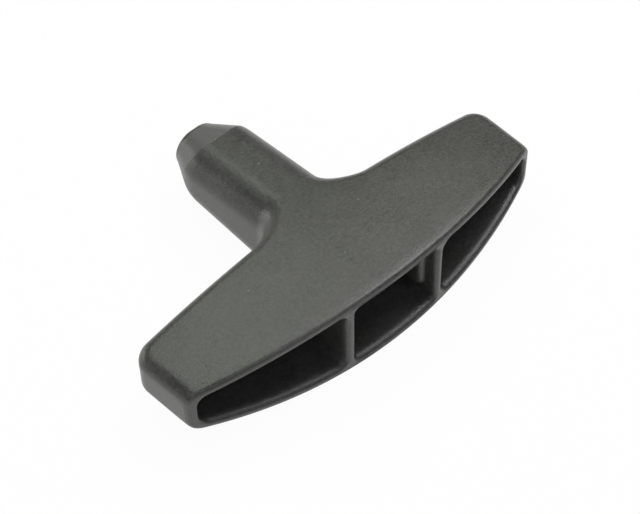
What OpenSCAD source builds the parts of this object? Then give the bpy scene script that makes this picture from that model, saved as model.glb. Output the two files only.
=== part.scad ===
// Starter handle: the T-shaped pull of a recoil starter, moulded in one piece.
// X runs along the grip, Y from the open mouth of the grip to the nose of the stem, Z is the thickness.
// The shape is worked out with the mouth's foremost point at Y = 0 and mid-thickness at Z = 0,
// and is then moved so that the origin lies under the middle of the whole handle.

/* [Grip] */
// Length of the grip across its two back corners
grip_length = 95.6; // [86:0.2:110]
// Depth of the grip at the middle, from the mouth to its back
grip_depth = 26.2; // [24:0.2:30]
// Thickness of the grip at the middle
grip_thickness = 21; // [19:0.5:24]
// Radius of the arched top and bottom, seen from the mouth
crown_radius = 220; // [180:5:320]
// Radius of the bowed mouth, seen from above
mouth_radius = 132; // [118:2:180]
// Angle by which each end wall leans outwards towards the back
end_splay = 3; // [1:0.5:5]
// Angle by which each arm's back is swept towards the mouth
back_sweep = 1.7; // [0.5:0.1:3]
// Radius of the two back corners, seen from above
corner_radius = 4.2; // [3.4:0.2:5]
// Radius of the long edges at the back and the ends
edge_radius = 2.6; // [2:0.2:3]

/* [Walls] */
// Thickness of the top, bottom and end walls
wall = 2.4; // [2:0.1:2.8]
// Thickness of the back wall
back_wall = 2.6; // [2.2:0.1:3.2]
// Thickness of the two ribs between the cavities
rib = 2.4; // [1.8:0.1:3]
// Distance between the middles of the two ribs
rib_spacing = 24.4; // [22:0.2:28]
// Radius of the rounded lip on both sides of each wall's front edge
lip_radius = 1; // [0.7:0.1:1.1]
// Radius of the corners of the middle cavity
cavity_corner = 1; // [0.8:0.1:1.6]
// Radius of the outer cavities' corners at the end walls
end_corner = 2.4; // [1:0.1:2.6]
// Radius of the outer cavities' corners next to the ribs
rib_corner = 1.9; // [1:0.1:2.4]

/* [Stem] */
// Width of the stem
stem_width = 17.6; // [15:0.2:20]
// Distance from the mouth to the shoulder where the nose begins
shoulder_distance = 53.4; // [48:0.1:60]
// Distance from the mouth to the tip of the nose
nose_distance = 61.9; // [58:0.1:70]
// Angle by which the stem's top and bottom fall towards the nose
stem_fall = 4.3; // [2:0.1:5]
// Radius of the stem's rounded long edges
stem_edge = 6.2; // [5:0.1:6.8]
// Radius of the hollow curve between the stem and the grip, seen from above
root_radius = 7; // [5:0.5:9]
// How far before the shoulder the stem's sides begin to curve in towards the nose
side_run = 1.3; // [0.5:0.1:3]
// Width of the tapered nose where it starts at the shoulder, a little more than the stem's
nose_width = 18.9; // [18.1:0.1:20]
// Radius of the nose's long edges where it starts at the shoulder
nose_edge = 6.8; // [6:0.1:7.6]
// Width of the nose at its tip
tip_width = 10.6; // [9.4:0.2:12]
// Thickness of the nose at its tip
tip_thickness = 9.1; // [8.5:0.1:10]

/* [Cord] */
// Bore for the starter cord
cord_bore = 4.5; // [3.5:0.1:5.5]
// Diameter of the pocket in the stem that takes the knot
knot_pocket = 10; // [8:0.5:11]
// Distance from the mouth to the bottom of the knot pocket
knot_depth = 40; // [34:0.5:46]
// How far each knot guide stands out from its rib
guide_height = 1.5; // [1:0.1:2]
// Length of each knot guide across the cavity
guide_width = 10; // [8:0.5:12]
// Distance from the mouth to the middle of each guide's rounded front
guide_distance = 5; // [4:0.5:8]

/* [Hidden] */
body_colour = [0.2, 0.21, 0.2];

// Numbers of steps in the curves
lip_steps = 4;
top_steps = 6;
edge_steps = 6;
root_steps = 8;
stem_steps = 3;
shoulder_steps = 4;
nose_steps = 5;
tip_steps = 3;
arm_steps = 7;
middle_steps = 4;
cavity_steps = 12;
corner_steps = 5;

half_length = grip_length / 2;
half_thickness = grip_thickness / 2;
half_stem = stem_width / 2;
splay = tan(end_splay);
sweep = tan(back_sweep);
fall = tan(stem_fall);
// Where the stem's top begins to fall, and where it has reached its full slope
fall_start = grip_depth * 0.64;
fall_full = grip_depth + 2;
tip_edge = 0.6;
clear = 1;

// The bowed mouth, the swept back of an arm and the inclined end wall, as lines in plan
function mouth_y(x) = mouth_radius - sqrt(mouth_radius * mouth_radius - x * x);
function back_y(x) = grip_depth - sweep * abs(x);
corner_y = back_y(half_length) - corner_radius;
function end_x(y) = half_length + splay * (y - corner_y);

// The mouth meets the end wall here, found by going from one line to the other in turn
function meeting(x, n) = n == 0 ? x : meeting(end_x(mouth_y(x)), n - 1);
mouth_corner_x = meeting(half_length, 6);

// Height of the top above mid-thickness before any edge is rounded
function drop(y) =
    y < fall_start ? 0
    : y < fall_full ? fall * (y - fall_start) * (y - fall_start) / (2 * (fall_full - fall_start))
    : fall * (y - (fall_start + fall_full) / 2);
function height(x, y) = half_thickness - drop(y) - x * x / (2 * crown_radius);

// The nose: a tapered form that cuts the stem at the shoulder, with half width, half thickness and edge radius
shoulder_height = height(0, shoulder_distance);
function taper(from, to, y) =
    from + (to - from) * (y - shoulder_distance) / (nose_distance - shoulder_distance);
function nose_x(y) = taper(nose_width / 2, tip_width / 2, y);
function nose_z(y) = taper(shoulder_height, tip_thickness / 2, y);
function nose_r(y) = taper(nose_edge, tip_thickness / 2, y);

// Distance from the cord's axis to the nose's surface, at an angle from straight up
function nose_reach(turn, y) =
    let (r = nose_r(y), a = nose_x(y) - r, b = nose_z(y) - r, s = sin(turn), c = cos(turn), m = a * s + b * c)
    (b + r) * s <= a * c ? (b + r) / c
    : (a + r) * c <= b * s ? (a + r) / s
    : m + sqrt(max(0, m * m - a * a - b * b + r * r));

// The stem's sides run straight, then curve in and meet the nose's sides without a corner
nose_slope = (nose_width - tip_width) / 2 / (nose_distance - shoulder_distance);
side_start = shoulder_distance - side_run;
side_end = 2 * (shoulder_distance + (nose_width - stem_width) / 2 / nose_slope) - side_start;
function side_x(y) =
    half_stem - nose_slope * pow(max(0, min(y, side_end) - side_start), 2) / (2 * (side_end - side_start));

// How far an edge rounded with radius r has fallen at a distance d in from it
function rounded(r, d) = d >= r ? 0 : r - sqrt(max(0, r * r - (r - d) * (r - d)));

// The hollow corner between stem and grip, seen from above: it turns from the stem's side to the arm's back
root_turn = 90 - back_sweep;
root_centre_x = half_stem + root_radius;
root_centre_y = back_y(root_centre_x) + root_radius / cos(back_sweep);
root_end_x = root_centre_x - root_radius * cos(root_turn);
function root_edge(a) = edge_radius + (stem_edge - edge_radius) * pow(cos(a), 4);

// One edge of the plan: [point, inward direction, edge radius, x at the mouth]
function root_stop(i) =
    let (a = root_turn * i / root_steps, n = [-cos(a), -sin(a)])
    [[root_centre_x, root_centre_y] + root_radius * n, n, root_edge(a),
     root_end_x * (0.25 + 0.75 * i / root_steps)];
function side_stop(y) =
    let (x = side_x(y))
    [[x, y], [-1, 0], min(stem_edge, x - 0.05, height(x, y) - 0.05), 0];

// The rounded edge under a stop: points from the top's rim down to the widest line
function edge_points(stop, from = 0) =
    let (b = stop[0], n = stop[1], r = stop[2])
    [for (i = [from : edge_steps])
        let (a = 90 * i / edge_steps, p = b + r * (1 - sin(a)) * n)
        [p.x, p.y, height(p.x, p.y) - r * (1 - cos(a))]];
function rim(stop) = stop[0] + stop[2] * stop[1];

// A line over the top from the mouth's lip at xf to the plan point q
function lip_points(xf) =
    [for (i = [0 : lip_steps - 1])
        let (a = 90 * i / lip_steps, y = mouth_y(xf) + lip_radius * (1 - cos(a)))
        [xf, y, height(xf, y) - lip_radius * (1 - sin(a))]];
function top_points(xf, q) =
    let (p = [xf, mouth_y(xf) + lip_radius])
    [for (i = [0 : top_steps])
        let (s = p + (q - p) * i / top_steps)
        [s.x, s.y, height(s.x, s.y)]];

// Closing a section: the same points mirrored below, or mirrored to the other side
function below(line) = [for (i = [len(line) - 1 : -1 : 0]) [line[i].x, line[i].y, -line[i].z]];
function side_point(p) = [p.x, p.y, 0];
function with_below(line) = concat(line, [side_point(line[len(line) - 1])], below(line));
function other_side(line) = [for (p = line) [-p.x, p.y, p.z]];

// The sections of the arm fan out with the end wall; plan distances to its end, back and corner
function fan_point(level, y) = [level + (end_x(y) - half_length) * level / half_length, y];
function from_end(p) = (end_x(p.y) - p.x) * cos(end_splay);
function from_back(p) = (back_y(p.x) - p.y) * cos(back_sweep);
function inset(p) =
    let (u = from_end(p), v = from_back(p), r = corner_radius)
    u < r && v < r ? r - norm([r - u, r - v]) : min(u, v);
function arm_z(p) = height(p.x, p.y) - rounded(edge_radius, max(0, inset(p)));
function fan_back(level, y = 20, n = 12) =
    n == 0 ? y
    : let (p = fan_point(level, y))
      fan_back(level, back_y(p.x) - rounded(corner_radius, from_end(p)) / cos(back_sweep), n - 1);
function fan_front(level, y = 5, n = 8) =
    n == 0 ? y
    : let (x = fan_point(level, y).x)
      fan_front(level, mouth_y(x) + rounded(lip_radius, max(0, mouth_corner_x - x)), n - 1);
function arm_points(level) =
    let (yf = fan_front(level), yb = fan_back(level), yi = yb - edge_radius)
    concat(
        [for (i = [0 : lip_steps - 1])
            let (a = 90 * i / lip_steps, p = fan_point(level, yf + lip_radius * (1 - cos(a))))
            [p.x, p.y, arm_z(p) - lip_radius * (1 - sin(a))]],
        [for (i = [0 : top_steps])
            let (p = fan_point(level, yf + lip_radius + (yi - yf - lip_radius) * i / top_steps))
            [p.x, p.y, arm_z(p)]],
        [for (i = [1 : edge_steps])
            let (a = 90 * i / edge_steps, p = fan_point(level, yb - edge_radius * (1 - sin(a))))
            [p.x, p.y, arm_z(p)]]
    );
corner_x = half_length - corner_radius;
levels = concat(
    [for (i = [1 : arm_steps]) root_end_x + (corner_x - root_end_x) * i / arm_steps],
    [for (i = [1 : edge_steps]) corner_x + corner_radius * sin(90 * i / edge_steps)]
);

// Sections of the right half of the grip, from the root's start by the stem to the end wall
grip_rings = concat(
    [for (i = [0 : root_steps])
        let (stop = root_stop(i))
        with_below(concat(lip_points(stop[3]), top_points(stop[3], rim(stop)), edge_points(stop, 1)))],
    [for (level = levels) with_below(arm_points(level))]
);

// Open sections of the grip's middle, which end where the stem's first section passes
middle_half = rim(root_stop(0)).x;
middle_lines = [
    for (i = [0 : middle_steps * 2])
        let (t = i / middle_steps - 1, q = [middle_half * t, root_centre_y], xf = root_stop(0)[3] * t)
        concat(lip_points(xf), top_points(xf, q))
];

// A quarter of a section across the stem, from the middle of its top to the middle of its side
function stem_quarter(stop) =
    concat(
        [for (i = [0 : middle_steps - 1])
            let (x = rim(stop).x * i / middle_steps)
            [x, stop[0].y, height(x, stop[0].y)]],
        edge_points(stop),
        [side_point(stop[0])]
    );
function stem_point(j, y) = stem_quarter(side_stop(y))[j];
quarter_end = middle_steps + edge_steps + 1;

// The crease: where the nose's surface cuts the stem's along each of the quarter's lines
function angle_up(p) = atan2(p.x, p.z);
function outside_nose(p) = norm([p.x, p.z]) > nose_reach(angle_up(p), p.y);
function crease_y(j, near, far, n) =
    let (y = (near + far) / 2)
    n == 0 ? y : outside_nose(stem_point(j, y)) ? crease_y(j, near, y, n - 1) : crease_y(j, y, far, n - 1);
crease = [
    for (j = [0 : quarter_end])
        j == quarter_end ? side_point(side_stop(side_end)[0])
        : stem_point(j, crease_y(j, side_start, side_end, 24))
];

// Quarter sections: the stem up to its curve, on to the crease, over the nose and round the flat tip's edge
nose_end = nose_distance - tip_edge;
function on_the_way(from, to, i, steps) = from + (to - from) * i / steps;
function nose_quarter(i) = [
    for (p = crease)
        let (y = on_the_way(p.y, nose_end, i, nose_steps), a = angle_up(p), reach = nose_reach(a, y))
        [reach * sin(a), y, reach * cos(a)]
];
function tip_quarter(a) =
    let (by = tip_edge * (1 - cos(a)), kx = 1 - by / nose_x(nose_end), kz = 1 - by / nose_z(nose_end))
    [for (p = nose_quarter(nose_steps)) [p.x * kx, nose_distance - tip_edge * (1 - sin(a)), p.z * kz]];
stem_quarters = concat(
    [stem_quarter(root_stop(0))],
    [for (i = [1 : stem_steps]) stem_quarter(side_stop(on_the_way(root_centre_y, side_start, i, stem_steps)))],
    [for (i = [1 : shoulder_steps])
        [for (j = [0 : quarter_end])
            let (y = on_the_way(side_start, crease[j].y, i, shoulder_steps))
            j == quarter_end ? side_point(side_stop(y)[0]) : stem_point(j, y)]],
    [for (i = [1 : nose_steps]) nose_quarter(i)],
    [for (i = [1 : tip_steps]) tip_quarter(90 * i / tip_steps)]
);

// A whole closed section from its quarter, from one side over the top to the other and back underneath
function whole(quarter) =
    let (n = len(quarter) - 1,
         upper = concat([for (i = [n : -1 : 1]) [-quarter[i].x, quarter[i].y, quarter[i].z]], quarter))
    concat(upper, [for (i = [2 * n - 1 : -1 : 1]) [upper[i].x, upper[i].y, -upper[i].z]]);
stem_rings = [for (quarter = stem_quarters) whole(quarter)];

// Surfaces as lists of triangles: a band between two lines, and a cap over a flat section
function band(a, b, closed = true) =
    let (n = len(a))
    [for (j = [0 : n - (closed ? 1 : 2)])
        let (k = (j + 1) % n)
        each [[a[j], b[j], b[k]], [a[j], b[k], a[k]]]];
function bands(rings, closed = true) = [for (i = [0 : len(rings) - 2]) each band(rings[i], rings[i + 1], closed)];
function cap(ring) = [for (j = [1 : len(ring) - 2]) [ring[0], ring[j], ring[j + 1]]];
function turned(triangles) = [for (t = triangles) [t[0], t[2], t[1]]];

// A closed solid from such triangles
module closed(triangles) {
    polyhedron(
        points = [for (t = triangles, p = t) p],
        faces = [for (i = [0 : len(triangles) - 1]) [3 * i, 3 * i + 1, 3 * i + 2]]
    );
}

// A solid lofted through closed rings; each ring runs clockwise seen from the first ring's side
module loft(rings) {
    closed(concat(cap(rings[0]), bands(rings), turned(cap(rings[len(rings) - 1]))));
}

// The outside of the grip and the stem as one smooth skin
module skin() {
    half = concat(turned(bands(grip_rings)), cap(grip_rings[len(grip_rings) - 1]));
    middle = turned(bands(middle_lines, false));
    lip = [for (line = middle_lines) line[0]];
    front = turned(band(lip, [for (p = lip) [p.x, p.y, -p.z]], false));
    stem = concat(bands(stem_rings), turned(cap(stem_rings[len(stem_rings) - 1])));
    closed(concat(
        half,
        turned([for (t = half) other_side(t)]),
        middle,
        turned([for (t = middle) [for (p = t) [p.x, p.y, -p.z]]]),
        front,
        stem
    ));
}

// A cavity's mouth outline between two side walls, as [x, z] points, with its own radius on each side
function inner_height(x) = half_thickness - wall - x * x / (2 * crown_radius);
function quarter(x, z, r, turn) =
    [for (i = [0 : corner_steps]) let (a = 90 * i / corner_steps + turn) [x - r * cos(a), z - r + r * sin(a)]];
function window(x0, x1, r0, r1, grow) =
    let (left = x0 + r0, right = x1 - r1,
         arc0 = quarter(left, inner_height(left) + grow, r0 + grow, 0),
         arc1 = quarter(right, inner_height(right) + grow, r1 + grow, 90),
         roof = [for (i = [1 : cavity_steps - 1])
                    let (x = left + (right - left) * i / cavity_steps)
                    [x, inner_height(x) + grow]],
         upper = concat(arc0, roof, arc1))
    concat(upper, [for (i = [len(upper) - 1 : -1 : 0]) [upper[i].x, -upper[i].y]]);

// The cavity's floor and roof follow the outside, and its lip flares out to the front face
lip_angles = [75, 60, 40, 20, 0];
module cavity(x0, x1, r0, r1) {
    function grown(a) = window(x0, x1, r0, r1, lip_radius * (1 - cos(a)));
    loft(concat(
        [[for (p = grown(lip_angles[0])) [p.x, -clear, p.y]]],
        [for (a = lip_angles) [for (p = grown(a)) [p.x, mouth_y(p.x) + lip_radius * (1 - sin(a)), p.y]]],
        [[for (p = grown(0)) [p.x, cavity_back(p.x, x0), p.y]]]
    ));
}
function cavity_back(x, x0) = (x0 < 0 ? back_y(x0) : back_y(x)) - back_wall;

// The guides stand on the ribs inside the middle cavity and lead the knot to its pocket
guide_edge = 0.6;
module knot_guide(wall_x) {
    function outline(out, z) = concat(
        [[wall_x + rib / 3, guide_distance - out, z]],
        [for (i = [0 : 6])
            let (a = 15 * i)
            [wall_x - out * sin(a), guide_distance - out * cos(a), z]],
        [[wall_x - out, cavity_back(wall_x, -wall_x) + clear, z],
         [wall_x + rib / 3, cavity_back(wall_x, -wall_x) + clear, z]]
    );
    foot = [for (a = [90, 60, 30, 0])
        outline(guide_height - guide_edge * (1 - cos(a)), guide_width / 2 - guide_edge * (1 - sin(a)))];
    loft(concat(foot, [for (i = [len(foot) - 1 : -1 : 0]) [for (p = foot[i]) [p.x, p.y, -p.z]]]));
}

// The pocket for the knot, its conical seat and the bore for the cord, drawn as one turned profile
module knot_and_cord() {
    seat = (knot_pocket - cord_bore) / 2;
    start = cavity_back(0, -1) - clear;
    rotate([-90, 0, 0])
        rotate_extrude($fn = 96)
            polygon([
                [0, start],
                [knot_pocket / 2, start],
                [knot_pocket / 2, knot_depth],
                [cord_bore / 2, knot_depth + seat],
                [cord_bore / 2, nose_distance + clear],
                [0, nose_distance + clear]
            ]);
}

rib_inner = rib_spacing / 2 - rib / 2;
rib_outer = rib_spacing / 2 + rib / 2;
cavity_end = mouth_corner_x - wall;

module handle() {
    color(body_colour)
    translate([0, -nose_distance / 2, half_thickness])
    difference() {
        union() {
            difference() {
                skin();
                cavity(-rib_inner, rib_inner, cavity_corner, cavity_corner);
                cavity(rib_outer, cavity_end, rib_corner, end_corner);
                mirror([1, 0, 0]) cavity(rib_outer, cavity_end, rib_corner, end_corner);
            }
            knot_guide(rib_inner);
            mirror([1, 0, 0]) knot_guide(rib_inner);
        }
        knot_and_cord();
    }
}

handle();
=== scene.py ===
import math

import bmesh
import bpy
from mathutils import Matrix, Vector
from mathutils.geometry import tessellate_polygon


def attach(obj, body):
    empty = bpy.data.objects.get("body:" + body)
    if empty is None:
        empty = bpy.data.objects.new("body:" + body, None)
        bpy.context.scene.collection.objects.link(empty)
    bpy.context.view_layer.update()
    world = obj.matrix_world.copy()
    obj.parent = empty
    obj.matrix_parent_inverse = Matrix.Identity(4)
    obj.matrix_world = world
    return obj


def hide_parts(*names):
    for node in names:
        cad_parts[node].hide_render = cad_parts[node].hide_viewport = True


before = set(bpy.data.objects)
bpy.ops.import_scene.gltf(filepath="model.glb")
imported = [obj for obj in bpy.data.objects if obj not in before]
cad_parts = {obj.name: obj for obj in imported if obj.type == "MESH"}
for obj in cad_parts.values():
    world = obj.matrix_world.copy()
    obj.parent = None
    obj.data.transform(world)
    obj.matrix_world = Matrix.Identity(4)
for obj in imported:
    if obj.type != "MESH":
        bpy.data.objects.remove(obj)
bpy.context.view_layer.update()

# Sizes of the handle in millimetres, as in the part's source
# Y is 0 at the mouth's foremost point and Z is 0 at mid-thickness
GRIP_LENGTH = 95.6
GRIP_DEPTH = 26.2
GRIP_THICKNESS = 21.0
CROWN_RADIUS = 220.0
MOUTH_RADIUS = 132.0
END_SPLAY = math.radians(3.0)
BACK_SWEEP = math.radians(1.7)
CORNER_RADIUS = 4.2
EDGE_RADIUS = 2.6
WALL = 2.4
BACK_WALL = 2.6
RIB = 2.4
RIB_SPACING = 24.4
LIP_RADIUS = 1.0
CAVITY_CORNER = 1.0
END_CORNER = 2.4
RIB_CORNER = 1.9
STEM_WIDTH = 17.6
SHOULDER_DISTANCE = 53.4
NOSE_DISTANCE = 61.9
STEM_FALL = math.radians(4.3)
STEM_EDGE = 6.2
ROOT_RADIUS = 7.0
SIDE_RUN = 1.3
NOSE_WIDTH = 18.9
NOSE_EDGE = 6.8
TIP_WIDTH = 10.6
TIP_THICKNESS = 9.1
TIP_EDGE = 0.6
CORD_BORE = 4.5
KNOT_POCKET = 10.0
KNOT_DEPTH = 40.0
GUIDE_HEIGHT = 1.5
GUIDE_WIDTH = 10.0
GUIDE_DISTANCE = 5.0
GUIDE_EDGE = 0.6

# Two small forms that only this mesh has: the cavities' lips are rounded deeper than they are high,
# and the top eases down towards the outer lip, which begins with that tilt
LIP_DEPTH = 2.0
EASE_RUN = 1.6
EASE_TILT = math.radians(6)

# The stem starts to fall inside the grip and falls at its full slope just behind it
FALL_SHARE = 0.64
FALL_PAST = 2.0

# At the mouth, the root's sections start at this share of the way out to where the root ends
MOUTH_SHARE = 0.25

# The edge's radius shrinks round the root with this power of the turn's cosine, mostly in the first half
EDGE_POWER = 4

# How much flat is left at least beside the edge of the narrowing stem
FLAT_LEFT = 0.05

# Sections of the arm nearer than this to the one at the mouth's corner are left out
LEVEL_GAP = 0.12

HALF_LENGTH = GRIP_LENGTH / 2
HALF_THICKNESS = GRIP_THICKNESS / 2
HALF_STEM = STEM_WIDTH / 2
FALL_START = GRIP_DEPTH * FALL_SHARE
FALL_FULL = GRIP_DEPTH + FALL_PAST

# Numbers of steps in the curves
LIP_STEPS = 8
EASE_STEPS = 5
TOP_STEPS = 16
EDGE_STEPS = 14
ROOT_STEPS = 20
ARM_STEPS = 20
MIDDLE_STEPS = 8
STEM_STEPS = 10
SHOULDER_STEPS = 10
NOSE_STEPS = 14
TIP_STEPS = 6
WALL_STEPS = 3
CORNER_STEPS = 7
ROOF_STEPS = 24
DEPTH_STEPS = 10
BORE_STEPS = 20

# Rows up a cavity's side wall: in a plain one, and up a knot guide, round its edge and above it
SIDE_ROWS = 6
GUIDE_ROWS = 5
GUIDE_EDGE_ROWS = 4
ABOVE_ROWS = 3

# Steps along the depth of the middle cavity: to a knot guide, round its foot and behind it
TO_GUIDE_STEPS = 3
FOOT_STEPS = 8
BEHIND_STEPS = 6

# Rounds of the searches that close in on a point, and of those that halve a range
CORNER_ROUNDS = 8
FRONT_ROUNDS = 10
BACK_ROUNDS = 14
LEVEL_HALVINGS = 50
CREASE_HALVINGS = 30

# Where the searches for the arm's front and back start, in millimetres
FRONT_GUESS = 5.0
BACK_GUESS = 20.0

# Corners are joined where they fall in the same cell of a grid with this many cells in a millimetre,
# and then where they lie this near to each other, in metres
CELLS_PER_MM = 5000
MERGE_DISTANCE = 2e-6

# A point this near to the crease lies on it, in millimetres
CREASE_SLACK = 0.002

# Edges that bend more than this are crisp, and the crease is crisp from a smaller bend on
CRISP_BEND = math.radians(35)
CREASE_BEND = math.radians(5)

QUARTER_TURN = math.radians(90)


# The handle's plan and height rules

def mouth_y(x):
    return MOUTH_RADIUS - math.sqrt(MOUTH_RADIUS ** 2 - x * x)


def back_y(x):
    return GRIP_DEPTH - math.tan(BACK_SWEEP) * abs(x)


def end_x(y):
    corner_y = back_y(HALF_LENGTH) - CORNER_RADIUS
    return HALF_LENGTH + math.tan(END_SPLAY) * (y - corner_y)


def mouth_corner():
    """X of the corner where the mouth's arc meets the end."""
    x = HALF_LENGTH
    for _ in range(CORNER_ROUNDS):
        x = end_x(mouth_y(x))
    return x


def drop(y):
    """How far the stem's top has fallen at y."""
    if y < FALL_START:
        return 0.0
    if y < FALL_FULL:
        return math.tan(STEM_FALL) * (y - FALL_START) ** 2 / (2 * (FALL_FULL - FALL_START))
    return math.tan(STEM_FALL) * (y - (FALL_START + FALL_FULL) / 2)


def height(x, y):
    """The top's height over mid-thickness: crowned along X, and falling along the stem."""
    return HALF_THICKNESS - drop(y) - x * x / (2 * CROWN_RADIUS)


def turn(steps, first=0):
    """Angles of a quarter turn."""
    return [QUARTER_TURN * i / steps for i in range(first, steps + 1)]


def rounded(radius, distance):
    """How far an edge rounded with that radius has fallen at a distance in from it."""
    if distance >= radius:
        return 0.0
    return radius - math.sqrt(max(0.0, radius ** 2 - (radius - distance) ** 2))


# The nose: a tapered form that cuts the stem at the shoulder

SHOULDER_HEIGHT = height(0.0, SHOULDER_DISTANCE)
NOSE_SLOPE = (NOSE_WIDTH - TIP_WIDTH) / 2 / (NOSE_DISTANCE - SHOULDER_DISTANCE)
SIDE_START = SHOULDER_DISTANCE - SIDE_RUN
SIDE_END = 2 * (SHOULDER_DISTANCE + (NOSE_WIDTH - STEM_WIDTH) / 2 / NOSE_SLOPE) - SIDE_START


def taper(start, end, y):
    return start + (end - start) * (y - SHOULDER_DISTANCE) / (NOSE_DISTANCE - SHOULDER_DISTANCE)


def nose_half(y):
    """Half width, half thickness and edge radius of the nose at y."""
    return (taper(NOSE_WIDTH / 2, TIP_WIDTH / 2, y), taper(SHOULDER_HEIGHT, TIP_THICKNESS / 2, y),
            taper(NOSE_EDGE, TIP_THICKNESS / 2, y))


def nose_reach(angle, y):
    """Distance from the cord's axis to the nose's surface, at an angle from straight up."""
    width, thick, r = nose_half(y)
    s = math.sin(angle)
    c = math.cos(angle)
    a = width - r
    b = thick - r
    if thick * s <= a * c:
        return thick / c
    if width * c <= b * s:
        return width / s
    m = a * s + b * c
    return m + math.sqrt(max(0.0, m * m - a * a - b * b + r * r))


def side_x(y):
    """Half the stem's width: straight at first, then curved in until it runs along the nose's side."""
    past = max(0.0, min(y, SIDE_END) - SIDE_START)
    return HALF_STEM - NOSE_SLOPE * past ** 2 / (2 * (SIDE_END - SIDE_START))


# The outer skin, as lines of points from the mouth to the back, for the quarter with X and Z above 0

ROOT_TURN = QUARTER_TURN - BACK_SWEEP
ROOT_X = HALF_STEM + ROOT_RADIUS
ROOT_Y = back_y(ROOT_X) + ROOT_RADIUS / math.cos(BACK_SWEEP)
ROOT_END_X = ROOT_X - ROOT_RADIUS * math.cos(ROOT_TURN)
MOUTH_CORNER_X = mouth_corner()


class Stop:
    """One place on the plan's outline: its point, the inward direction, the edge radius, X at the mouth."""

    def __init__(self, x, y, angle, radius, mouth_x=0.0):
        self.x = x
        self.y = y
        self.nx = -math.cos(angle)
        self.ny = -math.sin(angle)
        self.radius = radius
        self.mouth_x = mouth_x

    def inward(self, distance):
        return self.x + distance * self.nx, self.y + distance * self.ny

    def rim(self):
        """Where the top starts to round over into the edge."""
        return self.inward(self.radius)

    def edge(self, first=0):
        points = []
        for a in turn(EDGE_STEPS, first):
            x, y = self.inward(self.radius * (1 - math.sin(a)))
            points.append((x, y, height(x, y) - self.radius * (1 - math.cos(a))))
        return points


def root_stop(i):
    """A stop in the hollow corner between the stem and the arm, at step i of its turn."""
    a = ROOT_TURN * i / ROOT_STEPS
    radius = EDGE_RADIUS + (STEM_EDGE - EDGE_RADIUS) * math.cos(a) ** EDGE_POWER
    x = ROOT_X - ROOT_RADIUS * math.cos(a)
    y = ROOT_Y - ROOT_RADIUS * math.sin(a)
    return Stop(x, y, a, radius, ROOT_END_X * (MOUTH_SHARE + (1 - MOUTH_SHARE) * i / ROOT_STEPS))


def side_stop(y):
    """A stop on the stem's side at y."""
    x = side_x(y)
    return Stop(x, y, 0.0, min(STEM_EDGE, x - FLAT_LEFT, height(x, y) - FLAT_LEFT))


def eased(distance):
    """How far the top has sunk towards the mouth, at a distance behind the lip."""
    return math.tan(EASE_TILT) * max(0.0, EASE_RUN - distance) ** 2 / (2 * EASE_RUN)


def lip_arc():
    """The lip's rounding from the front to the top: how far back and how far down each point lies."""
    full = QUARTER_TURN - EASE_TILT
    low = eased(0.0) - LIP_RADIUS * (1 - math.sin(full))
    arc = []
    for i in range(LIP_STEPS + 1):
        a = full * i / LIP_STEPS
        arc.append((LIP_RADIUS * (1 - math.cos(a)), LIP_RADIUS * (1 - math.sin(a)) + low))
    return arc


LIP_ARC = lip_arc()
LIP_BACK = LIP_ARC[-1][0]


def lip_line(x):
    return [(x, mouth_y(x) + back, height(x, mouth_y(x) + back) - fall) for back, fall in LIP_ARC[:-1]]


def top_run(start, end):
    """Places from the lip to the back: close together where the top is eased, then evenly apart."""
    near = [start + EASE_RUN * i / EASE_STEPS for i in range(EASE_STEPS)]
    even = start + EASE_RUN
    return near + [even + (end - even) * i / TOP_STEPS for i in range(TOP_STEPS + 1)]


def top_line(x0, x1, y1):
    """The top's points from the lip at x0 to the rim at x1, y1."""
    y0 = mouth_y(x0) + LIP_BACK
    points = []
    for y in top_run(y0, y1):
        x = x0 + (x1 - x0) * (y - y0) / (y1 - y0)
        points.append((x, y, height(x, y) - eased(y - y0)))
    return points


# The arm: lines that fan out with the end's splay
# A line's level is its X where the end is half the grip's length out

def fan_point(level, y):
    return level + (end_x(y) - HALF_LENGTH) * level / HALF_LENGTH, y


def from_end(x, y):
    return (end_x(y) - x) * math.cos(END_SPLAY)


def inset(x, y):
    """How far a point lies inside the plan's outline of the arm."""
    u = from_end(x, y)
    v = (back_y(x) - y) * math.cos(BACK_SWEEP)
    if u < CORNER_RADIUS and v < CORNER_RADIUS:
        return CORNER_RADIUS - math.hypot(CORNER_RADIUS - u, CORNER_RADIUS - v)
    return min(u, v)


def arm_z(x, y):
    return height(x, y) - rounded(EDGE_RADIUS, max(0.0, inset(x, y)))


def fan_back(level):
    """Y where a line of the fan meets the back, round the plan's corner."""
    y = BACK_GUESS
    for _ in range(BACK_ROUNDS):
        x = fan_point(level, y)[0]
        y = back_y(x) - rounded(CORNER_RADIUS, max(0.0, from_end(x, y))) / math.cos(BACK_SWEEP)
    return y


def fan_front(level):
    """Y where a line of the fan meets the mouth, whose own corner is rounded as the lip is."""
    y = FRONT_GUESS
    for _ in range(FRONT_ROUNDS):
        x = fan_point(level, y)[0]
        y = mouth_y(x) + rounded(LIP_RADIUS, max(0.0, MOUTH_CORNER_X - x))
    return y


def arm_line(level):
    """One line over the arm: its lip, its eased top and its rounded back edge."""
    front = fan_front(level)
    back = fan_back(level)
    inner = back - EDGE_RADIUS
    points = []
    for far, fall in LIP_ARC[:-1]:
        x, y = fan_point(level, front + far)
        points.append((x, y, arm_z(x, y) - fall))
    for place in top_run(front + LIP_BACK, inner):
        x, y = fan_point(level, place)
        points.append((x, y, arm_z(x, y) - eased(place - front - LIP_BACK)))
    for a in turn(EDGE_STEPS, 1):
        x, y = fan_point(level, back - EDGE_RADIUS * (1 - math.sin(a)))
        points.append((x, y, arm_z(x, y)))
    return points


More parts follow.
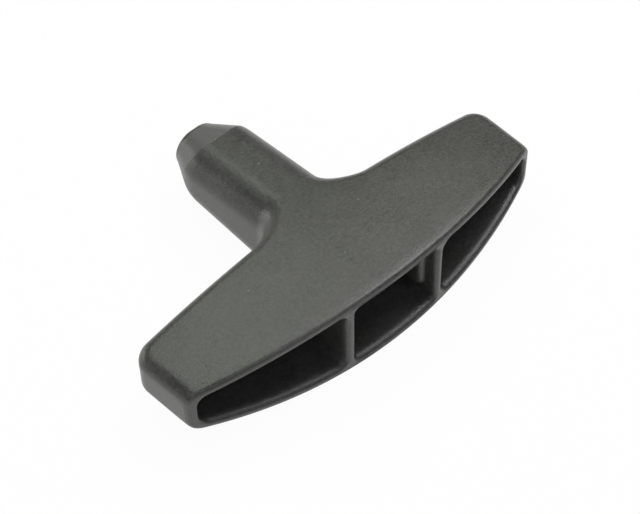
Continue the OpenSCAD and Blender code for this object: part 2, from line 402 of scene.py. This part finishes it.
def land_end_level():
    """The level whose front point is where the mouth's corner starts to turn."""
    low = HALF_LENGTH - CORNER_RADIUS
    high = HALF_LENGTH
    for _ in range(LEVEL_HALVINGS):
        level = (low + high) / 2
        if fan_point(level, fan_front(level))[0] < MOUTH_CORNER_X - LIP_RADIUS:
            low = level
        else:
            high = level
    return level


# The stem's sections, up to the crease where the nose cuts them

def down(point):
    """Points straight down from one point to mid-thickness."""
    x, y, z = point
    return [(x, y, z * (1 - i / WALL_STEPS)) for i in range(WALL_STEPS + 1)]


def stem_quarter(stop):
    """A quarter section across the stem, from the middle of its top to the middle of its side."""
    top_x = stop.rim()[0]
    line = []
    for i in range(MIDDLE_STEPS):
        x = top_x * i / MIDDLE_STEPS
        line.append((x, stop.y, height(x, stop.y)))
    line += stop.edge()
    return line + down(line[-1])[1:]


def stem_point(j, y):
    return stem_quarter(side_stop(y))[j]


def crease_point(j):
    """Where the nose's surface cuts line j of the stem's."""
    near = SIDE_START
    far = SIDE_END
    for _ in range(CREASE_HALVINGS):
        y = (near + far) / 2
        x, _, z = stem_point(j, y)
        if math.hypot(x, z) > nose_reach(math.atan2(x, z), y):
            far = y
        else:
            near = y
    return stem_point(j, y)


CREASE = [crease_point(j) for j in range(MIDDLE_STEPS + EDGE_STEPS + WALL_STEPS + 1)]


# The cavities: a ring of points round half a window, pushed in along the depth

def roof(x):
    return HALF_THICKNESS - WALL - x * x / (2 * CROWN_RADIUS)


def window(x0, x1, r0, r1, grow, side_z):
    """The window's outline as (x, z), from its left foot or its middle over the roof to its right foot."""
    left = 0.0
    right = x1 - r1
    points = []
    if x0 > 0:
        left = x0 + r0
        top = roof(left) + grow
        points += [(x0 - grow, z) for z in side_z(top - r0 - grow)]
        for a in turn(CORNER_STEPS, 1)[:-1]:
            points.append((left - (r0 + grow) * math.cos(a), top - (r0 + grow) * (1 - math.sin(a))))
    for i in range(ROOF_STEPS + 1):
        x = left + (right - left) * i / ROOF_STEPS
        points.append((x, roof(x) + grow))
    top = roof(right) + grow
    for a in reversed(turn(CORNER_STEPS, 1)[:-1]):
        points.append((right + (r1 + grow) * math.cos(a), top - (r1 + grow) * (1 - math.sin(a))))
    points += [(x1 + grow, z) for z in reversed(side_z(top - r1 - grow))]
    return points


def plain_side(top):
    """Heights up a plain side wall."""
    return [top * i / SIDE_ROWS for i in range(SIDE_ROWS + 1)]


def guide_side(top):
    """Heights on the middle cavity's side wall: up the knot guide, over its edge, then up the wall."""
    flat = GUIDE_WIDTH / 2 - GUIDE_EDGE
    rows = [flat * i / GUIDE_ROWS for i in range(GUIDE_ROWS + 1)]
    rows += [flat + GUIDE_EDGE * math.sin(a) for a in turn(GUIDE_EDGE_ROWS, 1)]
    rows += [GUIDE_WIDTH / 2 + (top - GUIDE_WIDTH / 2) * i / ABOVE_ROWS for i in range(ABOVE_ROWS + 1)]
    return rows


def guide_reach(row):
    """How far the guide stands out at a row of the side wall, and the radius of its foot there."""
    past = row - GUIDE_ROWS
    if past <= 0:
        return GUIDE_HEIGHT, GUIDE_HEIGHT
    if past <= GUIDE_EDGE_ROWS:
        foot = GUIDE_HEIGHT - GUIDE_EDGE * (1 - math.cos(turn(GUIDE_EDGE_ROWS)[past]))
        return foot, foot
    return 0.0, GUIDE_HEIGHT - GUIDE_EDGE


def plain_line(x, z, back):
    """Points straight from behind the lip to the back wall."""
    front = mouth_y(x) + LIP_DEPTH
    return [(x, front + (back - front) * i / DEPTH_STEPS, z) for i in range(1, DEPTH_STEPS + 1)]


def guided_line(x, z, back, stand, radius):
    """Points from behind the lip to the back wall, round a knot guide that stands out so far."""
    front = mouth_y(x) + LIP_DEPTH
    foot = GUIDE_DISTANCE - radius
    points = [(x, front + (foot - front) * i / TO_GUIDE_STEPS, z) for i in range(1, TO_GUIDE_STEPS + 1)]
    for a in turn(FOOT_STEPS, 1):
        points.append((x - stand * math.sin(a), GUIDE_DISTANCE - radius * math.cos(a), z))
    for i in range(1, BEHIND_STEPS + 1):
        points.append((x - stand, GUIDE_DISTANCE + (back - GUIDE_DISTANCE) * i / BEHIND_STEPS, z))
    return points


# Collecting the faces of a quarter and mirroring them into one closed mesh

class Mould:
    """Faces of one quarter of the handle, by the places of their corners."""

    def __init__(self):
        self.faces = []

    def grid(self, lines):
        for a, b in zip(lines, lines[1:]):
            for i in range(len(a) - 1):
                self.faces.append([a[i], a[i + 1], b[i + 1], b[i]])

    def zipper(self, a, b):
        """Triangles between two lines that start and end side by side."""
        i = 0
        j = 0
        while i < len(a) - 1 or j < len(b) - 1:
            if j == len(b) - 1 or (i < len(a) - 1 and (i + 1) / len(a) <= (j + 1) / len(b)):
                self.faces.append([a[i], a[i + 1], b[j]])
                i += 1
            else:
                self.faces.append([a[i], b[j + 1], b[j]])
                j += 1

    def land(self, outline):
        """Triangles over the front face inside an outline."""
        flat = [Vector((p[0], p[2], 0)) for p in outline]
        for a, b, c in tessellate_polygon([flat]):
            self.faces.append([outline[a], outline[b], outline[c]])

    def mesh(self, name):
        """All four quarters as one mesh in metres, on the table and centred as the part is."""
        places = {}
        points = []

        def index(x, y, z):
            key = (round(x * CELLS_PER_MM), round(y * CELLS_PER_MM), round(z * CELLS_PER_MM))
            if key not in places:
                places[key] = len(points)
                points.append((x / 1000, (y - NOSE_DISTANCE / 2) / 1000, (z + HALF_THICKNESS) / 1000))
            return places[key]

        polygons = []
        for sx, sz in ((1, 1), (-1, 1), (1, -1), (-1, -1)):
            for face in self.faces:
                corners = []
                for x, y, z in face:
                    corner = index(sx * x, y, sz * z)
                    if not corners or (corner != corners[-1] and corner != corners[0]):
                        corners.append(corner)
                if len(corners) > 2:
                    polygons.append(corners)
        data = bpy.data.meshes.new(name)
        data.from_pydata(points, [], polygons)
        return data


def grip(mould):
    """The grip's skin. Returns the front edge of its lip, from the middle round to mid-thickness."""
    first = root_stop(0)
    rim_x = first.rim()[0]
    middle = []
    for i in range(MIDDLE_STEPS + 1):
        t = i / MIDDLE_STEPS
        middle.append(lip_line(first.mouth_x * t) + top_line(first.mouth_x * t, rim_x * t, ROOT_Y))
    mould.grid(middle)

    # The root and the arm, with their sides down to mid-thickness
    corner_x = HALF_LENGTH - CORNER_RADIUS
    levels = [ROOT_END_X + (corner_x - ROOT_END_X) * i / ARM_STEPS for i in range(1, ARM_STEPS + 1)]
    levels += [corner_x + CORNER_RADIUS * math.sin(a) for a in turn(EDGE_STEPS, 1)]
    land_end = land_end_level()
    levels = sorted([a for a in levels if abs(a - land_end) > LEVEL_GAP] + [land_end])
    sections = []
    for i in range(ROOT_STEPS + 1):
        stop = root_stop(i)
        sections.append(lip_line(stop.mouth_x) + top_line(stop.mouth_x, *stop.rim()) + stop.edge(1))
    sections += [arm_line(level) for level in levels]
    mould.grid([line + down(line[-1])[1:] for line in sections])

    # The end wall, and the turned edge beside the mouth
    mould.grid([down(point) for point in sections[-1]])
    turned = ROOT_STEPS + 1 + levels.index(land_end)
    mould.grid([down(line[0]) for line in sections[turned:]])

    front = [line[0] for line in middle] + [line[0] for line in sections[1:turned + 1]]
    return front + down(sections[turned][0])[1:]


def stem_and_nose(mould):
    """The stem up to the crease, the nose, and the rounded edge of its flat tip, whose ring it returns."""
    rings = [stem_quarter(root_stop(0))]
    for i in range(1, STEM_STEPS + 1):
        rings.append(stem_quarter(side_stop(ROOT_Y + (SIDE_START - ROOT_Y) * i / STEM_STEPS)))
    for i in range(1, SHOULDER_STEPS + 1):
        t = i / SHOULDER_STEPS
        rings.append([stem_point(j, SIDE_START + (p[1] - SIDE_START) * t) for j, p in enumerate(CREASE)])
    nose_end = NOSE_DISTANCE - TIP_EDGE
    for i in range(1, NOSE_STEPS + 1):
        ring = []
        for x, y, z in CREASE:
            angle = math.atan2(x, z)
            y += (nose_end - y) * i / NOSE_STEPS
            reach = nose_reach(angle, y)
            ring.append((reach * math.sin(angle), y, reach * math.cos(angle)))
        rings.append(ring)
    last = rings[-1]
    reach_x, reach_z, _ = nose_half(nose_end)
    for a in turn(TIP_STEPS, 1):
        by = TIP_EDGE * (1 - math.cos(a))
        y = nose_end + TIP_EDGE * math.sin(a)
        rings.append([(x * (1 - by / reach_x), y, z * (1 - by / reach_z)) for x, _, z in last])
    mould.grid(rings)
    return rings[-1]


def cavity(mould, x0, x1, r0, r1, back, guided):
    """Adds one cavity's lip and walls, and returns its outlines at the front and at the back."""
    side_z = guide_side if guided else plain_side
    lips = []
    for a in turn(LIP_STEPS):
        grow = LIP_RADIUS * (1 - math.sin(a))
        ring = window(x0, x1, r0, r1, grow, side_z)
        lips.append([(x, mouth_y(x) + LIP_DEPTH * (1 - math.cos(a)), z) for x, z in ring])
    side_rows = len(side_z(HALF_THICKNESS))
    walls = []
    for i, (x, _, z) in enumerate(lips[-1]):
        row = len(lips[-1]) - 1 - i
        if not guided:
            line = plain_line(x, z, back(x))
        elif row < side_rows:
            line = guided_line(x, z, back(x), *guide_reach(row))
        else:
            line = guided_line(x, z, back(x), 0.0, GUIDE_HEIGHT - GUIDE_EDGE)
        walls.append([lip[i] for lip in lips] + line)
    mould.grid(walls)
    return lips[0], [line[-1] for line in walls]


def cord_hole(mould, back, cavity_end, tip_ring):
    """The knot's pocket from the middle cavity's back wall on, its seat, and the bore out of the tip."""
    pocket = KNOT_POCKET / 2
    bore = CORD_BORE / 2
    seat = KNOT_DEPTH + pocket - bore
    circle = turn(BORE_STEPS)
    hole = []
    for radius, y in ((pocket, back), (pocket, KNOT_DEPTH), (bore, seat), (bore, NOSE_DISTANCE)):
        hole.append([(radius * math.sin(a), y, radius * math.cos(a)) for a in circle])
    mould.zipper(cavity_end, hole[0])
    mould.grid(hole)
    mould.zipper(tip_ring, hole[-1])


def handle_quarter():
    """The whole skin of the quarter with X and Z above 0, outside and inside."""
    mould = Mould()
    front = grip(mould)
    tip_ring = stem_and_nose(mould)

    # The middle cavity with its knot guides, and the outer one with its own back wall
    rib_inner = RIB_SPACING / 2 - RIB / 2
    rib_outer = RIB_SPACING / 2 + RIB / 2
    middle_back = back_y(rib_inner) - BACK_WALL
    middle_rim, middle_end = cavity(mould, -rib_inner, rib_inner, CAVITY_CORNER, CAVITY_CORNER,
                                    lambda x: middle_back, guided=True)
    outer_rim, outer_end = cavity(mould, rib_outer, MOUTH_CORNER_X - WALL, RIB_CORNER, END_CORNER,
                                  lambda x: back_y(x) - BACK_WALL, guided=False)
    mould.faces.append(outer_end)

    # The narrow land between the outer lip and the cavities' lips
    mould.land(front + list(reversed(outer_rim)) + list(reversed(middle_rim)))
    cord_hole(mould, middle_back, middle_end, tip_ring)
    return mould


def on_crease(place):
    here = (abs(place.x) * 1000, place.y * 1000 + NOSE_DISTANCE / 2, abs(place.z * 1000 - HALF_THICKNESS))
    return any(math.dist(here, point) < CREASE_SLACK for point in CREASE)


def finish_mesh(data):
    """Merges the mirrored quarters, points the faces outwards and marks the crisp edges."""
    shape = bmesh.new()
    shape.from_mesh(data)
    bmesh.ops.remove_doubles(shape, verts=shape.verts, dist=MERGE_DISTANCE)
    bmesh.ops.recalc_face_normals(shape, faces=shape.faces)
    for edge in shape.edges:
        bend = edge.calc_face_angle(0.0)
        creased = bend > CREASE_BEND and all(on_crease(vert.co) for vert in edge.verts)
        edge.smooth = not (bend > CRISP_BEND or creased)
    for face in shape.faces:
        face.smooth = True
    shape.to_mesh(data)
    shape.free()


def plain_copy(piece):
    """Turns a piece with live modifiers into a plain mesh with its place kept."""
    graph = bpy.context.evaluated_depsgraph_get()
    data = bpy.data.meshes.new_from_object(piece.evaluated_get(graph))
    piece.modifiers.clear()
    live = piece.data
    piece.data = data
    bpy.data.meshes.remove(live)


# Materials

def linear(code):
    """An sRGB hex colour as linear RGBA."""
    parts = [int(code[i:i + 2], 16) / 255 for i in (1, 3, 5)]
    return [c / 12.92 if c <= 0.04045 else ((c + 0.055) / 1.055) ** 2.4 for c in parts] + [1.0]


def add(tree, kind, settings=None, **links):
    """Adds a node, sets its properties, and feeds its inputs from values or from other nodes' outputs."""
    node = tree.nodes.new(kind)
    for name, value in (settings or {}).items():
        setattr(node, name, value)
    for name, value in links.items():
        key = int(name[1:]) if name[1:].isdigit() else name.replace("_", " ")
        if isinstance(value, bpy.types.NodeSocket):
            tree.links.new(value, node.inputs[key])
        else:
            node.inputs[key].default_value = value
    return node


def per_mm(size):
    """The scale of a texture whose features are that many millimetres across."""
    return 1000 / size


# Sizes of the nylon's patterns in millimetres
# Real spark-eroded grain is 0.05 to 0.15 mm across, too fine to show in the render, so the grain and its
# pits are drawn as coarse as they need to show, and the fleck of glass ends is coarser in the same way
FLOW_SIZE = 7
FLECK_SIZE = 0.8
# Spacing of the painted glints, pale specks put into the colour
GLINT_SPACING = 5
GRAIN_SIZE = 0.5
PIT_SIZE = 0.3
SHRINK_SIZE = 9

# Heights of its relief in metres
SHRINK_HEIGHT = 0.00006
GRAIN_HEIGHT = 0.00007
PIT_HEIGHT = 0.000025


def glass_filled_nylon():
    """Glass-filled nylon, moulded against a spark-eroded tool: a dull, dark skin with a fine even grain."""
    material = bpy.data.materials.new("glass_filled_nylon_spark_eroded")
    material.use_nodes = True
    tree = material.node_tree
    shader = tree.nodes["Principled BSDF"]
    shader.inputs["IOR"].default_value = 1.53
    place = add(tree, "ShaderNodeTexCoord").outputs["Object"]

    # Carbon-black pigment, a little uneven where the melt flowed, and a finer fleck of glass ends
    flow = add(tree, "ShaderNodeTexNoise", Vector=place, Scale=per_mm(FLOW_SIZE), Detail=4.0,
               Roughness=0.6, Distortion=0.6).outputs["Fac"]
    fleck = add(tree, "ShaderNodeTexNoise", Vector=place, Scale=per_mm(FLECK_SIZE), Detail=3.0,
                Roughness=0.7).outputs["Fac"]
    tone = add(tree, "ShaderNodeMath", {"operation": "MULTIPLY_ADD"}, _0=flow, _1=0.4, _2=fleck).outputs[0]
    pigment = add(tree, "ShaderNodeMapRange", Value=tone, From_Min=0.45, From_Max=0.95).outputs[0]
    skin = add(tree, "ShaderNodeMix", {"data_type": "RGBA"}, _0=pigment,
               _6=linear("#30322e"), _7=linear("#4e4f4b")).outputs[2]

    # A few painted glints: pale specks in the grain, each about a quarter of a millimetre, painted into the
    # colour where the grain's facets would catch the light
    glint_cell = add(tree, "ShaderNodeTexVoronoi", Vector=place, Scale=per_mm(GLINT_SPACING)).outputs["Distance"]
    painted_glint = add(tree, "ShaderNodeMapRange", Value=glint_cell, From_Min=0.03, From_Max=0.016).outputs[0]
    colour = add(tree, "ShaderNodeMix", {"data_type": "RGBA"}, _0=painted_glint,
                 _6=skin, _7=linear("#a6a8a2")).outputs[2]
    tree.links.new(colour, shader.inputs["Base Color"])

    # Rougher in the dull flow marks, and uneven with the fleck
    dull = add(tree, "ShaderNodeMapRange", Value=flow, From_Min=0.3, From_Max=0.7,
               To_Min=0.29, To_Max=0.35).outputs[0]
    grain_dull = add(tree, "ShaderNodeMapRange", Value=fleck, From_Min=0.3, From_Max=0.7,
                     To_Min=-0.03, To_Max=0.03).outputs[0]
    rough = add(tree, "ShaderNodeMath", {"operation": "ADD"}, _0=dull, _1=grain_dull).outputs[0]
    tree.links.new(rough, shader.inputs["Roughness"])

    # The spark-eroded grain in two sizes, over a faint waviness from shrinking as it cooled
    coarse = add(tree, "ShaderNodeTexNoise", Vector=place, Scale=per_mm(GRAIN_SIZE), Detail=3.0,
                 Roughness=0.65).outputs["Fac"]
    pits = add(tree, "ShaderNodeTexVoronoi", {"feature": "SMOOTH_F1"}, Vector=place,
               Scale=per_mm(PIT_SIZE), Smoothness=0.6).outputs["Distance"]
    wave = add(tree, "ShaderNodeTexNoise", Vector=place, Scale=per_mm(SHRINK_SIZE),
               Detail=1.0).outputs["Fac"]
    shrink = add(tree, "ShaderNodeBump", Strength=1.0, Distance=SHRINK_HEIGHT, Height=wave).outputs[0]
    sparks = add(tree, "ShaderNodeBump", Strength=1.0, Distance=GRAIN_HEIGHT, Height=coarse,
                 Normal=shrink).outputs[0]
    surface = add(tree, "ShaderNodeBump", Strength=1.0, Distance=PIT_HEIGHT, Height=pits,
                  Normal=sparks).outputs[0]
    tree.links.new(surface, shader.inputs["Normal"])
    return material


# Building the handle

handle = bpy.data.objects.new("moulded_handle", handle_quarter().mesh("moulded_handle"))
bpy.context.scene.collection.objects.link(handle)
finish_mesh(handle.data)
weighted = handle.modifiers.new("even_shading", "WEIGHTED_NORMAL")
weighted.keep_sharp = True
plain_copy(handle)
handle.data.materials.clear()
handle.data.materials.append(glass_filled_nylon())
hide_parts("handle")
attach(handle, "root")


# Floor, light and camera

# Half the table's length in metres, and the share of plain white that the camera sees in it
TABLE_REACH = 3.0
TABLE_GLOW = 0.96

# The strength of the even light from the room
ROOM_LIGHT = 0.12

# The panels stand this far from a point above the middle of the table, in metres
PANEL_DISTANCE = 1.0
PANEL_AIM = Vector((0, 0, 0.01))

# Soft panels: azimuth and elevation in degrees, width and height in metres, watts and colour
PANELS = {
    "key_panel": (84, 61, 0.52, 0.40, 4.5, "#fbf9ff"),
    "far_panel": (196, 66, 0.60, 0.32, 2.0, "#fbfff6"),
    "high_panel": (132, 74, 0.26, 0.22, 0.4, "#fbfff6"),
    "right_panel": (110, 44, 0.40, 0.30, 0.95, "#fffeef"),
    "back_panel": (150, 54, 0.40, 0.34, 0.62, "#fbffec"),
    "low_front_panel": (22, 8, 0.60, 0.16, 0.3, "#f8f6ff"),
    "low_back_panel": (208, 6.5, 0.80, 0.20, 2.0, "#fffcf4"),
    "low_right_panel": (155, 6.5, 0.60, 0.20, 0.35, "#fffef4"),
    "stem_panel": (166, 44, 0.24, 0.18, 0.38, "#fbffec"),
    "left_panel": (290, 36, 0.90, 0.50, 1.2, "#eeeeff"),
    "front_panel": (0, 52, 0.70, 0.35, 1.1, "#f4f3ff"),
}

# The camera, as solved from the photograph's outlines: its direction and roll in degrees, its distance
# and how far it is shifted in millimetres, and its focal length in pixels of the photograph's width
CAMERA_AZIMUTH = -42.219
CAMERA_ELEVATION = 50.023
CAMERA_ROLL = math.radians(-1.292)
CAMERA_DISTANCE = 341.164
CAMERA_RIGHT = -15.584
CAMERA_UP = 9.779
FOCAL_PIXELS = 1728.312
PHOTOGRAPH_WIDTH = 640
SENSOR_WIDTH = 36


def direction(azimuth, elevation):
    """The direction from the handle to a viewer or a panel, from angles in degrees."""
    az = math.radians(azimuth)
    el = math.radians(elevation)
    return Vector((math.sin(az) * math.cos(el), -math.cos(az) * math.cos(el), math.sin(el)))


def white_paper():
    """White paper: it takes the handle's shadow, and shows near white to the camera and in reflections."""
    material = bpy.data.materials.new("white_paper_table")
    material.use_nodes = True
    tree = material.node_tree
    tree.nodes.clear()
    paper = add(tree, "ShaderNodeBsdfDiffuse", Color=linear("#f4f4f2"))
    glow = add(tree, "ShaderNodeEmission", Color=linear("#ffffff"), Strength=1.0)
    path = add(tree, "ShaderNodeLightPath")
    seen = add(tree, "ShaderNodeMath", {"operation": "MAXIMUM"},
               _0=path.outputs["Is Camera Ray"], _1=path.outputs["Is Glossy Ray"])
    share = add(tree, "ShaderNodeMath", {"operation": "MULTIPLY"}, _0=seen.outputs[0], _1=TABLE_GLOW)
    mix = add(tree, "ShaderNodeMixShader", _0=share.outputs[0], _1=paper.outputs[0], _2=glow.outputs[0])
    add(tree, "ShaderNodeOutputMaterial", Surface=mix.outputs[0])
    return material


def table():
    r = TABLE_REACH
    data = bpy.data.meshes.new("table")
    data.from_pydata([(-r, -r, 0), (r, -r, 0), (r, r, 0), (-r, r, 0)], [], [(0, 1, 2, 3)])
    data.materials.append(white_paper())
    floor = bpy.data.objects.new("table", data)
    bpy.context.scene.collection.objects.link(floor)


def studio():
    """A dim, even room that the camera sees as white."""
    world = bpy.data.worlds.new("studio")
    bpy.context.scene.world = world
    world.use_nodes = True
    tree = world.node_tree
    tree.nodes.clear()
    path = add(tree, "ShaderNodeLightPath")
    room = add(tree, "ShaderNodeBackground", Color=linear("#ffffff"), Strength=ROOM_LIGHT)
    white = add(tree, "ShaderNodeBackground", Color=linear("#ffffff"), Strength=1.0)
    mix = add(tree, "ShaderNodeMixShader",
              _0=path.outputs["Is Camera Ray"], _1=room.outputs[0], _2=white.outputs[0])
    add(tree, "ShaderNodeOutputWorld", Surface=mix.outputs[0])


def soft_panel(name, azimuth, elevation, width, tall, power, tint):
    """A soft panel that faces the handle."""
    data = bpy.data.lights.new(name, "AREA")
    data.shape = "RECTANGLE"
    data.size = width
    data.size_y = tall
    data.energy = power
    data.color = linear(tint)[:3]
    panel = bpy.data.objects.new(name, data)
    back = direction(azimuth, elevation)
    panel.location = back * PANEL_DISTANCE + PANEL_AIM
    panel.rotation_euler = back.to_track_quat("Z", "Y").to_euler()
    bpy.context.scene.collection.objects.link(panel)


def camera():
    back = direction(CAMERA_AZIMUTH, CAMERA_ELEVATION)
    az = math.radians(CAMERA_AZIMUTH)
    level = Vector((math.cos(az), math.sin(az), 0))
    upright = back.cross(level)
    right = math.cos(CAMERA_ROLL) * level + math.sin(CAMERA_ROLL) * upright
    up = math.cos(CAMERA_ROLL) * upright - math.sin(CAMERA_ROLL) * level
    place = back * CAMERA_DISTANCE + right * CAMERA_RIGHT + up * CAMERA_UP
    place += Vector((0, -NOSE_DISTANCE / 2, HALF_THICKNESS))
    data = bpy.data.cameras.new("camera")
    data.sensor_width = SENSOR_WIDTH
    data.sensor_fit = "HORIZONTAL"
    data.lens = FOCAL_PIXELS / PHOTOGRAPH_WIDTH * SENSOR_WIDTH
    data.clip_start = 0.01
    data.clip_end = 20
    viewer = bpy.data.objects.new("camera", data)
    pose = Matrix((right, up, back)).transposed().to_4x4()
    pose.translation = place / 1000
    viewer.matrix_world = pose
    bpy.context.scene.collection.objects.link(viewer)
    bpy.context.scene.camera = viewer


table()
studio()
for name, settings in PANELS.items():
    soft_panel(name, *settings)
camera()
bpy.context.scene.view_settings.view_transform = "Standard"
